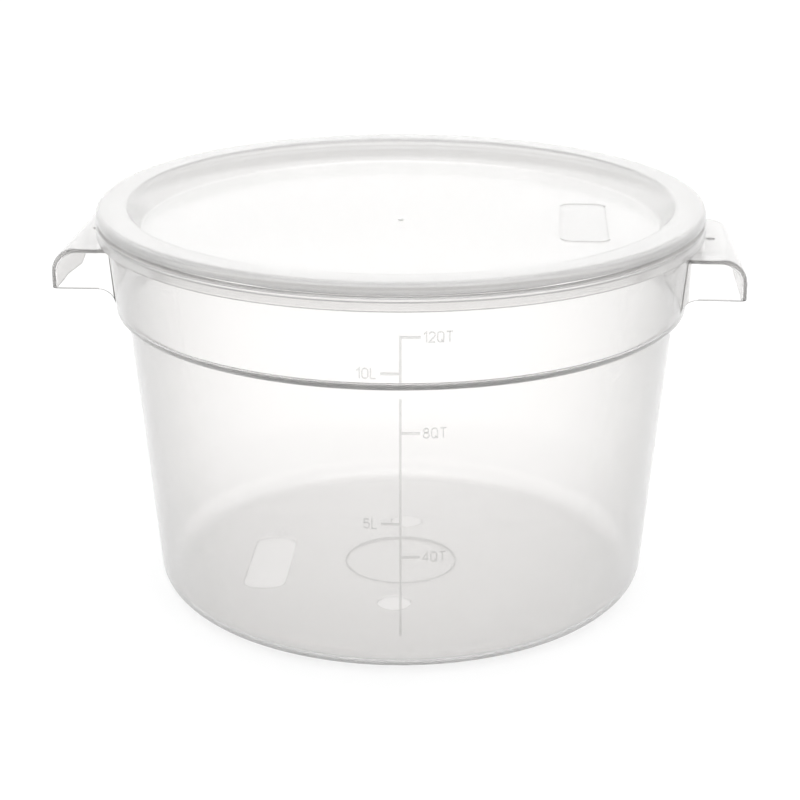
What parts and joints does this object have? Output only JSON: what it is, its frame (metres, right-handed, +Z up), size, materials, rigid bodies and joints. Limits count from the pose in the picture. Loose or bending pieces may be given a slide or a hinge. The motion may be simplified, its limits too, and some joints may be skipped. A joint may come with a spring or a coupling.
{
  "type": "food storage container",
  "caption": "Round translucent plastic food storage container with a stepped, tapered wall, side handles, a raised fill scale and a lift-off lid with a sunk panel.",
  "frame": {"origin": "centre of the base, on the plane that the container stands on", "axes": "+X towards one handle, with the other handle on -X; +Z up, the way the lid lifts off; the fill scale is on the -Y side, turned 3.7 degrees towards +X"},
  "size_m": [0.364, 0.3248, 0.215],
  "materials": {
    "clear_plastic": "nearly clear, faintly milky moulded plastic, satin outside and glossy inside",
    "lid_plastic": "milky white translucent moulded plastic, soft gloss"
  },
  "bodies": {
    "container": {"container": "clear_plastic"},
    "lid": {"lid": "lid_plastic"}
  },
  "joints": [
    {"name": "lid_lift", "type": "slide", "parent": "container", "child": "lid", "axis": [0, 0, 1], "range_m": [0, 0.06]}
  ]
}
